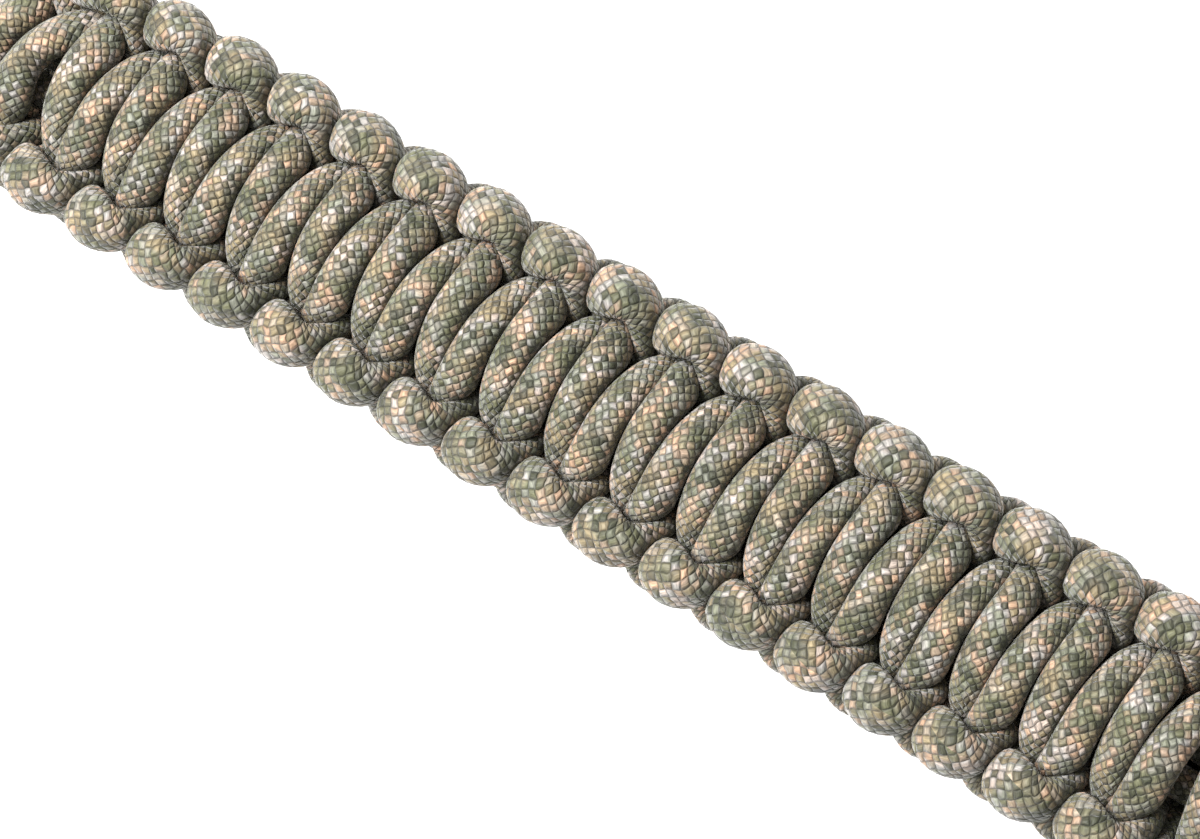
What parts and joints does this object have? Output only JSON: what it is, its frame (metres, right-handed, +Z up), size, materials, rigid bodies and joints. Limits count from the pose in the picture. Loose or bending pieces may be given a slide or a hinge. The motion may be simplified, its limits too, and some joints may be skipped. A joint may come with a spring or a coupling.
{
  "type": "paracord bracelet",
  "caption": "Closed wrist band of nylon cord in a cobra weave over straight core strands, joined by a flat clasp, lying pressed flat.",
  "frame": {"origin": "middle of the footprint, on the surface that the bracelet lies on", "axes": "+X along the flattened loop, +Y across the band, +Z up out of the top run's outer face"},
  "size_m": [0.1559, 0.024, 0.0372],
  "materials": {
    "camouflage_cord": "braided nylon sheath",
    "core_cord": "braided nylon sheath",
    "clasp": "moulded satin"
  },
  "bodies": {
    "root": {"front_cord": "camouflage_cord", "back_cord": "camouflage_cord", "core_cords": "core_cord", "clasp": "clasp"}
  },
  "joints": []
}
